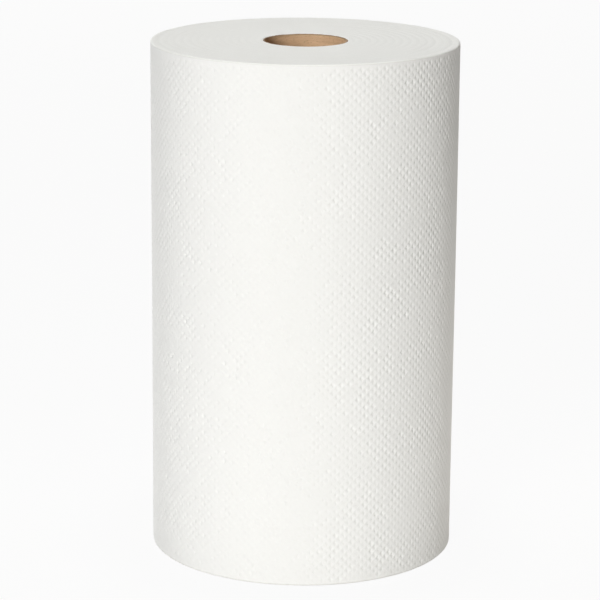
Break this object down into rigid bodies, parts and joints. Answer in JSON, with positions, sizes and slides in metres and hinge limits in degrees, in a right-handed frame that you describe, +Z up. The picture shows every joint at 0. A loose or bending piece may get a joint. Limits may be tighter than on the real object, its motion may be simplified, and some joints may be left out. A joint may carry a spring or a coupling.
{
  "type": "paper towel roll",
  "caption": "Roll of white embossed paper towel, wound tight on a brown card tube that is open at both ends, standing on its end.",
  "frame": {"origin": "on the tube's axis, in the end face that the roll stands on", "axes": "+Z up along the tube's axis, -Y towards the viewer; the loose end of the sheet lies on the +Y side"},
  "size_m": [0.1657, 0.1659, 0.279],
  "materials": {
    "towel_paper": "matt white, dot embossed",
    "core_card": "matt brown kraft card, spiral wound"
  },
  "bodies": {
    "root": {"towel_web": "towel_paper", "core_tube": "core_card"}
  },
  "joints": []
}
